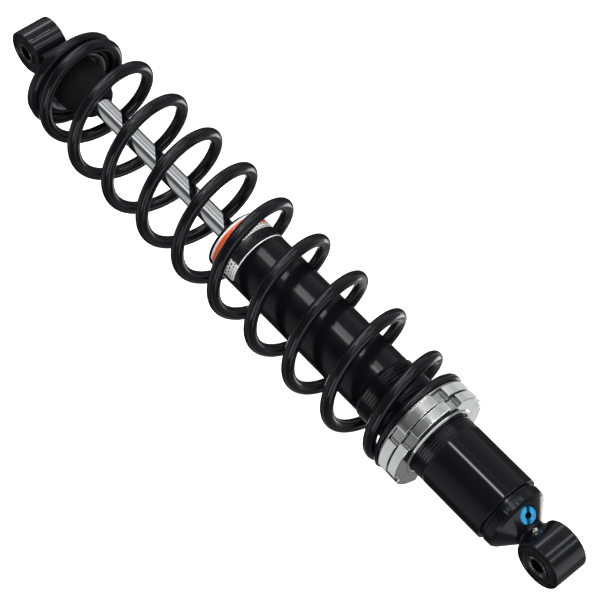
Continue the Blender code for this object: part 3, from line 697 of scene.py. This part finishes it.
def surface(name, dark, light, roughness, metallic=0.0, specular=0.5, kind='solid', mottle=60, grain=900,
            bump=0.1, depth=0.05, detail=3.0):
    """Surface whose colour and roughness drift, with a fine grain in relief; depth is in mm."""
    material, graph, shader = new_material(name)
    coordinates = place_of(graph, kind)
    drift = graph.noise(coordinates, mottle)
    fine = graph.noise(coordinates, grain, detail)
    graph.feed(shader.inputs["Base Color"], graph.mix(graph.spread(drift, 0, 1), dark, light))
    blend = graph.math('ADD', graph.math('MULTIPLY', drift, 0.5), graph.math('MULTIPLY', fine, 0.5))
    graph.feed(shader.inputs["Roughness"], graph.spread(blend, *roughness))
    relief = graph.node('ShaderNodeBump', {"Strength": bump, "Distance": depth * MM, "Height": fine})
    graph.feed(shader.inputs["Normal"], relief.outputs[0])
    shader.inputs["Metallic"].default_value = metallic
    shader.inputs["Specular IOR Level"].default_value = specular
    return material


def label_material():
    """Plain layout: orange, white and black strips and a white block, with rows of bars."""
    material, graph, shader = new_material("label_print")
    position = graph.node('ShaderNodeTexCoord').outputs["Object"]
    parts = graph.node('ShaderNodeSeparateXYZ', {0: position}).outputs
    turn = graph.math('ARCTAN2', parts[1], parts[0])
    share = graph.math('DIVIDE', graph.math('SUBTRACT', turn, LABEL_START), LABEL_SPAN)
    skew = graph.math('MULTIPLY', graph.math('SUBTRACT', share, 0.5), LABEL_SKEW * MM)
    level = graph.math('SUBTRACT', parts[2], skew)
    height = graph.math('DIVIDE', graph.math('SUBTRACT', level, (LABEL_LOW - EYE_TO_EYE) * MM),
                        (LABEL_HIGH - LABEL_LOW) * MM)
    white, orange, black = (0.90, 0.90, 0.88), (0.90, 0.095, 0.010), (0.006, 0.006, 0.007)
    strips = graph.ramp(height, [(0, white), (0.065, orange), (0.41, white), (0.59, black), (0.965, white)],
                        'CONSTANT')
    block = graph.ramp(height, [(0, white), (0.065, orange), (0.41, white)], 'CONSTANT')
    in_block = graph.math('GREATER_THAN', share, 0.79)
    colour = graph.mix(in_block, strips, block)
    arc = graph.math('MULTIPLY', turn, LABEL_PRINT_RADIUS * MM)
    rows = graph.node('ShaderNodeCombineXYZ', {0: arc, 1: level}).outputs[0]
    bars = graph.node('ShaderNodeTexBrick', {"Vector": rows, "Color1": (0.01, 0.01, 0.01, 1),
                                             "Color2": (0.32, 0.32, 0.31, 1), "Mortar": (*white, 1),
                                             "Scale": 1000.0, "Mortar Size": 0.46, "Mortar Smooth": 0.05,
                                             "Bias": 0.0, "Brick Width": 3.2, "Row Height": 2.3})
    bars.offset = 0.37
    bars.squash = 0.7
    bars.squash_frequency = 3
    low_bar = graph.math('GREATER_THAN', height, 0.43)
    strip_bar = graph.math('LESS_THAN', height, 0.58)
    block_bar = graph.math('MULTIPLY', in_block, graph.math('LESS_THAN', height, 0.94))
    printed = graph.math('MULTIPLY', low_bar, graph.math('MAXIMUM', strip_bar, block_bar))
    printed = graph.math('MULTIPLY', printed, graph.math('LESS_THAN', share, 0.985))
    colour = graph.mix(printed, colour, bars.outputs[0])
    edge = graph.math('GREATER_THAN', share, 0.988)
    colour = graph.mix(edge, colour, white)
    dirt = graph.noise(position, 220)
    dirty = graph.mix(graph.spread(dirt, 0.0, 0.012), colour, (0.12, 0.12, 0.11))
    graph.feed(shader.inputs["Base Color"], dirty)
    graph.feed(shader.inputs["Roughness"], graph.spread(dirt, 0.26, 0.32))
    return material


# Marks on the cap's neck: place, reach, noise level that shows them, and colour
CHIPS = [((1.8, -11.2, 492.6), 4.0, 0.50, (0.50, 0.46, 0.43)),
         ((0.6, -12.2, 496.2), 2.6, 0.53, (0.012, 0.07, 0.17)),
         ((7.4, -9.6, 496.0), 2.6, 0.53, (0.012, 0.07, 0.17))]
# Lines along the rod eye: degrees up round it, wobble, half width, noise level that shows them, colour; the
# first is a rubbed casting line, the second a painted highlight
SCUFF_AND_HIGHLIGHT_LINES = [(14, 1.6, 0.30, 0.47, (0.16, 0.15, 0.145)),
          (40, 0.0, 0.28, 0.30, (0.06, 0.06, 0.062))]
SCUFF_AND_HIGHLIGHT_INNER_RADIUS = 15.8


def reopen(material):
    """Graph, base colour socket and coordinates of a finished material, to put marks on it."""
    graph = Graph(material.node_tree)
    position = graph.node('ShaderNodeTexCoord').outputs["Object"]
    return graph, material.node_tree.nodes["Principled BSDF"].inputs["Base Color"], position


def chipped(material):
    """Bare metal chips and blue smears where a spanner has slipped on the cap's neck."""
    graph, base, position = reopen(material)
    painted = base.links[0].from_socket
    ragged = graph.noise(position, 700, 4.0, 0.7)
    for (x, y, height), reach, level, colour in CHIPS:
        place = (x * MM, y * MM, (height - EYE_TO_EYE) * MM)
        distance = graph.node('ShaderNodeVectorMath', {0: position, 1: place},
                              operation='DISTANCE').outputs["Value"]
        near = graph.ease(distance, reach * MM, 0.3 * reach * MM)
        mark = graph.ease(graph.math('MULTIPLY', near, ragged), level - 0.03, level + 0.03)
        painted = graph.mix(mark, painted, colour)
    graph.feed(base, painted)
    return material


def scuffed_and_highlit(material):
    """A rubbed casting line and a painted highlight line along the rod eye's barrel."""
    graph, base, position = reopen(material)
    painted = base.links[0].from_socket
    from_axis = graph.node('ShaderNodeVectorMath', {0: position, 1: (0, 0, EYE_TO_EYE * MM)},
                           operation='ADD').outputs[0]
    ragged = graph.noise(position, 420, 4.0, 0.65)
    # The first line is wear; the second, straight and lighter than the paint, is a painted highlight.
    for degrees, wobble, width, level, colour in SCUFF_AND_HIGHLIGHT_LINES:
        slope = math.radians(degrees)
        off = graph.dot(from_axis, (0, math.sin(slope), math.cos(slope)))
        front = graph.dot(from_axis, (0, -math.cos(slope), math.sin(slope)))
        off = graph.math('ADD', off, graph.math('MULTIPLY', graph.math('SUBTRACT', ragged, 0.5), wobble * MM))
        line = graph.ease(graph.math('ABSOLUTE', off), width * MM, 0.4 * width * MM)
        line = graph.math('MULTIPLY', line, graph.math('GREATER_THAN', front, SCUFF_AND_HIGHLIGHT_INNER_RADIUS * MM))
        line = graph.math('MULTIPLY', line, graph.ease(ragged, level - 0.04, level + 0.04))
        painted = graph.mix(line, painted, colour)
    graph.feed(base, painted)
    return material


def make_materials():
    dark, light = (0.0028, 0.0029, 0.0046), (0.0039, 0.0040, 0.0060)
    return {
        "spring": surface("spring_powder_coat", dark, light, (0.12, 0.17), kind='wire', mottle=90, grain=900,
                          bump=0.06, depth=0.05, specular=0.30),
        "satin": surface("body_satin_black", dark, light, (0.16, 0.20), mottle=50, grain=1500, bump=0.04,
                         depth=0.03, specular=0.25),
        "gloss": surface("body_gloss_black", dark, light, (0.07, 0.10), mottle=50, grain=700, bump=0.02,
                         depth=0.03, specular=0.25),
        "paint": surface("cast_black_paint", dark, light, (0.18, 0.25), mottle=80, grain=700, bump=0.08,
                         depth=0.06, specular=0.3),
        # The eye's paint carries a rubbed line and a painted highlight line.
        "eye": scuffed_and_highlit(surface("eye_black_paint", dark, light, (0.17, 0.23), mottle=80, grain=700, bump=0.06,
                               depth=0.05, specular=0.3)),
        "cap": chipped(surface("cap_black_paint", dark, light, (0.17, 0.23), mottle=80, grain=700, bump=0.06,
                               depth=0.05, specular=0.3)),
        "chrome": surface("rod_chrome", (0.72, 0.735, 0.75), (0.80, 0.81, 0.82), (0.035, 0.05), 1.0,
                          kind='turned', mottle=160, grain=2500, bump=0.01, depth=0.01),
        "aluminium": surface("ring_turned_aluminium", (0.78, 0.785, 0.79), (0.86, 0.86, 0.86), (0.06, 0.08),
                             1.0, kind='turned', mottle=120, grain=4200, bump=0.012, depth=0.012),
        # Notch-floor metal: a milled finish, darkened as painted shade from the notch walls.
        "milled_and_shaded": surface("ring_notch_milled_and_shaded", (0.40, 0.405, 0.41), (0.52, 0.52, 0.52), (0.20, 0.26), 1.0,
                          mottle=240, grain=2200, bump=0.04, depth=0.02),
        "head": surface("inner_turned_aluminium", (0.70, 0.70, 0.70), (0.80, 0.80, 0.79), (0.28, 0.38), 1.0,
                        kind='turned', mottle=120, grain=3000, bump=0.10, depth=0.03),
        "zinc": surface("zinc_plate", (0.42, 0.43, 0.45), (0.54, 0.54, 0.54), (0.24, 0.36), 1.0, mottle=140,
                        grain=1800, bump=0.08, depth=0.03),
        "sleeve": surface("sleeve_dark_steel", (0.07, 0.07, 0.074), (0.12, 0.12, 0.12), (0.24, 0.34), 1.0,
                          mottle=160, grain=2200, bump=0.12, depth=0.04),
        "spring_steel": surface("blued_spring_steel", (0.16, 0.17, 0.20), (0.26, 0.26, 0.28), (0.25, 0.38),
                                1.0, kind='turned', mottle=150, grain=2500, bump=0.08, depth=0.03),
        "sintered": surface("sintered_steel", (0.16, 0.16, 0.165), (0.27, 0.265, 0.26), (0.48, 0.62), 1.0,
                            mottle=700, grain=2500, bump=0.35, depth=0.08),
        "bronze": surface("bronze_filled_band", (0.34, 0.20, 0.08), (0.46, 0.29, 0.12), (0.38, 0.5), 0.8,
                          mottle=500, grain=2200, bump=0.12, depth=0.04),
        "blue": surface("plug_blue_anodise", (0.007, 0.20, 0.43), (0.017, 0.31, 0.61), (0.24, 0.36), 0.2,
                        mottle=420, grain=2600, bump=0.25, depth=0.05),
        "rubber": surface("bush_rubber", (0.005, 0.005, 0.0055), (0.009, 0.009, 0.0095), (0.42, 0.56),
                          mottle=120, grain=1300, bump=0.22, depth=0.08, specular=0.35),
        "polymer": surface("seal_polymer", (0.03, 0.11, 0.06), (0.05, 0.16, 0.09), (0.42, 0.52), mottle=200,
                           grain=1500, bump=0.08, depth=0.03),
        "foam": surface("bump_foam", (0.003, 0.003, 0.0035), (0.006, 0.006, 0.0065), (0.72, 0.9), mottle=300,
                        grain=1500, bump=0.5, depth=0.15, specular=0.2, detail=6.0),
        "label": label_material(),
    }


# Studio: turns are in degrees about the shock's axis, 0 towards the camera and 90 across

# Soft boxes: turn from and to, softness, sine of the elevation from and to, softness, brightness
SOFT_BOXES = [
    (18.5, 23, 1.5, -0.31, -0.20, 0.03, 15.0),
    (19, 42, 2, -0.41, -0.33, 0.012, 8.0),
    (-4, 14, 3, -0.85, -0.43, 0.015, 0.75),
    (41, 46, 2, -0.85, -0.43, 0.015, 0.45),
    (12, 62, 8, -0.75, -0.69, 0.02, 9.0),
    (12, 62, 8, 0.04, 0.10, 0.02, 8.0),
    (12, 62, 8, 0.44, 0.50, 0.02, 5.5),
    (150, 164, 5, 0.06, 0.30, 0.06, 3.0),
    (-75, -45, 8, 0.38, 0.62, 0.06, 2.6),
    (-180, -166, 3, -0.85, -0.30, 0.06, 1.4),
    (-180, 180, 1, 0.85, 1.01, 0.05, 1.4),
]

# The rest of the studio by turn, below and above eye level, and the sines between which it changes
LOW_FIELD = [(-180, 0.22), (-164, 0.18), (-152, 0.04), (-126, 0.04), (-113, 0.20), (-104, 0.42),
             (-96, 0.48), (-84, 0.50), (-72, 0.52), (-59, 0.46), (-47, 0.26), (-38, 0.11), (-27, 0.07),
             (-12, 0.11), (4, 0.18), (12, 0.24), (15, 0.26), (34, 0.42), (39, 0.62), (43, 0.62), (48, 0.40),
             (64, 0.44), (78, 0.50), (90, 0.58), (102, 0.55), (108, 0.36), (116, 0.15), (130, 0.10),
             (150, 0.04), (162, 0.18), (180, 0.22)]
HIGH_FIELD = [(-180, 0.20), (-120, 0.13), (-60, 0.11), (-20, 0.08), (20, 0.11), (60, 0.18), (110, 0.36),
              (150, 0.30), (180, 0.20)]
FIELD_CHANGE = (-0.18, 0.12)

# Cards that the preload rings reflect: a band round their sides, and one behind for their faces
BAND_RADIUS = 0.25
BAND_HEIGHTS = (-0.200, -0.157)
BAND_FIELD = [(-180, 0.55), (-105, 0.64), (-72, 0.57), (-40, 0.59), (-28, 0.15), (-22, 0.08), (-8, 0.165),
              (7, 0.21), (16, 0.43), (22, 0.80), (45, 0.49), (78, 0.80), (103, 0.52), (119, 0.68),
              (180, 0.68)]
FACE_CARD_ACROSS = (0.004, 0.075)
FACE_CARD_HEIGHTS = (-0.062, -0.016)
FACE_CARD_BEHIND = 0.2
FACE_CARD_LEVEL = 0.68


def add_camera():
    """Camera rolled so that the shock lies along the picture's diagonal."""
    axis_on_sheet = math.cos(CAMERA_ELEVATION) * UP - math.sin(CAMERA_ELEVATION) * TOWARDS
    back = math.sin(CAMERA_ELEVATION) * UP + math.cos(CAMERA_ELEVATION) * TOWARDS
    right = math.cos(CAMERA_ROLL) * axis_on_sheet + math.sin(CAMERA_ROLL) * ACROSS
    up = -math.sin(CAMERA_ROLL) * axis_on_sheet + math.cos(CAMERA_ROLL) * ACROSS
    place = ACROSS * CAMERA_AIM[0] + UP * CAMERA_AIM[1] + back * CAMERA_DISTANCE
    camera = bpy.data.objects.new("camera", bpy.data.cameras.new("camera"))
    camera.data.sensor_width = 36
    camera.data.lens = CAMERA_LENS
    camera.matrix_world = Matrix.Translation(place) @ Matrix((right, up, back)).transposed().to_4x4()
    bpy.context.scene.collection.objects.link(camera)
    bpy.context.scene.camera = camera


def add_floor():
    """Pale floor far down, seen only by the camera, so that it doesn't light the shock's undersides."""
    bm = bmesh.new()
    bmesh.ops.create_grid(bm, x_segments=1, y_segments=1, size=FLOOR_HALF)
    mesh = bpy.data.meshes.new("studio_floor")
    bm.to_mesh(mesh)
    bm.free()
    floor = bpy.data.objects.new("studio_floor", mesh)
    floor.location.z = FLOOR_HEIGHT
    material, _, shader = new_material("floor_white")
    shader.inputs["Base Color"].default_value = (0.9, 0.9, 0.9, 1)
    shader.inputs["Roughness"].default_value = 0.9
    shader.inputs["Emission Color"].default_value = (1, 1, 1, 1)
    shader.inputs["Emission Strength"].default_value = 0.8
    mesh.materials.append(material)
    bpy.context.scene.collection.objects.link(floor)
    floor.visible_glossy = floor.visible_diffuse = floor.visible_shadow = floor.visible_transmission = False


def card(name, bm, paint):
    """Bright studio card that only reflections show."""
    mesh = bpy.data.meshes.new(name)
    bm.to_mesh(mesh)
    bm.free()
    mesh.materials.append(paint)
    made = bpy.data.objects.new(name, mesh)
    bpy.context.scene.collection.objects.link(made)
    made.visible_camera = made.visible_diffuse = made.visible_shadow = made.visible_transmission = False


def turn_of(graph, vector):
    """Turn of a place or direction about the shock's axis, in radians."""
    return graph.math('ARCTAN2', graph.dot(vector, ACROSS), graph.dot(vector, TOWARDS))


def by_turn(graph, turn, levels):
    """Brightness that follows (degrees, level) pairs as the turn changes."""
    share = graph.math('ADD', graph.math('DIVIDE', turn, 2 * math.pi), 0.5)
    return graph.ramp(share, [(degrees / 360 + 0.5, level) for degrees, level in levels])


def card_paint(name, levels):
    """Glow that changes with the turn about the shock's axis."""
    material = bpy.data.materials.new(name)
    material.use_nodes = True
    graph = Graph(material.node_tree)
    material.node_tree.nodes.clear()
    position = graph.node('ShaderNodeTexCoord').outputs["Object"]
    glow = graph.node('ShaderNodeEmission', {"Color": by_turn(graph, turn_of(graph, position), levels)})
    graph.node('ShaderNodeOutputMaterial', {"Surface": glow.outputs[0]})
    return material


def add_ring_cards():
    """Band below the preload rings that their sides reflect, and a card behind them for their faces."""
    sides = 72
    turns = [2 * math.pi * k / sides for k in range(sides)]
    rows = [[(BAND_RADIUS * math.cos(turn), BAND_RADIUS * math.sin(turn), height) for turn in turns]
            for height in BAND_HEIGHTS]
    card("ring_side_card", grid(rows, False, True), card_paint("side_card_glow", BAND_FIELD))
    rows = [[ACROSS * across - TOWARDS * FACE_CARD_BEHIND + UP * height for across in FACE_CARD_ACROSS]
            for height in FACE_CARD_HEIGHTS]
    levels = [(-180, FACE_CARD_LEVEL), (180, FACE_CARD_LEVEL)]
    card("ring_face_card", grid(rows, False, False), card_paint("face_card_glow", levels))


def light_studio():
    """Studio round the object: each direction's brightness, by its turn and its elevation."""
    world = bpy.data.worlds.new("studio")
    bpy.context.scene.world = world
    world.use_nodes = True
    graph = Graph(world.node_tree)
    background = world.node_tree.nodes["Background"]
    direction = graph.node('ShaderNodeTexCoord').outputs["Generated"]
    turn = turn_of(graph, direction)
    degrees = graph.math('MULTIPLY', turn, 180 / math.pi)
    height = graph.dot(direction, UP)
    total = graph.mix(graph.ease(height, *FIELD_CHANGE), by_turn(graph, turn, LOW_FIELD),
                      by_turn(graph, turn, HIGH_FIELD))
    for left, right, turn_edge, low, high, edge, level in SOFT_BOXES:
        across = graph.math('MULTIPLY', graph.ease(degrees, left - turn_edge, left),
                            graph.ease(degrees, right + turn_edge, right))
        upright = graph.math('MULTIPLY', graph.ease(height, low - edge, low),
                             graph.ease(height, high + edge, high))
        glow = graph.math('MULTIPLY', graph.math('MULTIPLY', across, upright), level)
        total = graph.node('ShaderNodeVectorMath', {0: total, 1: glow}, operation='ADD').outputs[0]
    seen = graph.node('ShaderNodeLightPath').outputs["Is Camera Ray"]
    graph.feed(background.inputs["Color"], graph.mix(seen, total, (1.0, 1.0, 1.0)))
    background.inputs["Strength"].default_value = 1.0
    bpy.context.scene.view_settings.view_transform = 'Standard'


def add_fill():
    """Broad fill that lifts printed and rubber surfaces; glossy ones reflect only the studio."""
    light = bpy.data.lights.new("fill", 'SUN')
    light.energy = FILL_STRENGTH
    light.angle = FILL_SPREAD
    fill = bpy.data.objects.new("fill", light)
    fill.rotation_euler = FILL_FROM.normalized().to_track_quat('Z', 'Y').to_euler()
    fill.visible_glossy = False
    bpy.context.scene.collection.objects.link(fill)


def main():
    add_camera()
    add_floor()
    light_studio()
    add_ring_cards()
    add_fill()
    look = make_materials()
    add_spring(look["spring"])
    tube = finish_mesh("damper_tube", tube_mesh(), [look["satin"], look["gloss"]], "damper_body",
                       "body_tube", 25, False)
    for face in tube.data.polygons:
        if face.center.z > (THREAD_HIGH - 0.3 - EYE_TO_EYE) * MM:
            face.material_index = 1
    add_end_cap(look["cap"], look["spring_steel"])
    add_plug(look["blue"], look["foam"])
    add_label(look["label"])
    add_ring("preload_adjuster_ring", ADJUSTER_LOW, ADJUSTER_NOTCH_ANGLE, look, "adjuster", "adjuster_ring")
    add_ring("preload_lock_ring", LOCK_RING_LOW, LOCK_NOTCH_ANGLE, look, "locker", "lock_ring", True)
    add_turned("spring_seat_washer",
               [(24.4, 391.4, 0.2), (35.5, 391.4, 0.4), (35.5, 392.7, 0.4), (24.4, 392.7, 0.2)],
               look["zinc"], "preload_seat", "spring_washer")
    add_retainer(look["paint"])
    add_turned("bump_stop_cup", [(13.2, 37.0), (20.2, 37.0, 1.6), (24.4, 41.3, 1.0), (24.4, 42.5, 0.4),
                                 (23.2, 42.5, 0.4), (19.4, 38.2, 0.8), (13.2, 38.2)],
               look["zinc"], "spring_seat", "bump_cup")
    add_turned("bump_stop_foam", [(13.2, 38.6), (18.8, 38.6, 1.4), (18.8, 50.6, 2.0), (16.6, 57.6, 5.0),
                                  (12.7, 66.0, 3.0), (9.5, 69.0, 2.6), (7.3, 69.0, 0.4), (7.3, 44.6),
                                  (13.2, 44.6)],
               look["foam"], "rod_assembly", "bump_stop")
    add_turned("chrome_rod", [(0, 21), (5, 21, 0.6), (5, 43.6), (7, 43.6, 0.8), (7, 258, 0.2), (5, 258),
                              (5, 289, 0.6), (0, 289)],
               look["chrome"], "rod_assembly", "piston_rod")
    add_rod_eye(look["eye"])
    add_nut(look["zinc"])
    add_eye_fittings("rod_eye", 0, ROD_EYE_RADIUS, "rod_assembly", "rod_sleeve", look["rubber"],
                     look["sleeve"])
    add_eye_fittings("body_eye", EYE_TO_EYE, BODY_EYE_RADIUS, "damper_body", "body_sleeve", look["rubber"],
                     look["sleeve"])
    add_turned("rod_dust_cap", [(7.6, 212.1, 0.3), (19.7, 212.1, 0.5), (19.7, 214.0, 0.2), (7.6, 214.0, 0.3)],
               look["satin"], "damper_body", "dust_cap")
    shims = [f"{side}_shim_{k}" for side in ("rebound", "compression") for k in (1, 2, 3)]
    inner_nodes = {"head": ["seal_head", "floating_piston"], "spring_steel": ["circlip", *shims],
                   "sintered": ["piston"], "bronze": ["guide_bush", "piston_band", "floating_piston_band"],
                   "zinc": ["piston_nut"], "polymer": ["rod_seal"],
                   "rubber": ["wiper_seal", "seal_head_oring", "end_cap_oring", "floating_piston_oring",
                              "gas_port_seal", "top_out_bumper"]}
    for key, names in inner_nodes.items():
        for name in names:
            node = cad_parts[name]
            node.data.materials.clear()
            node.data.materials.append(look[key])


main()
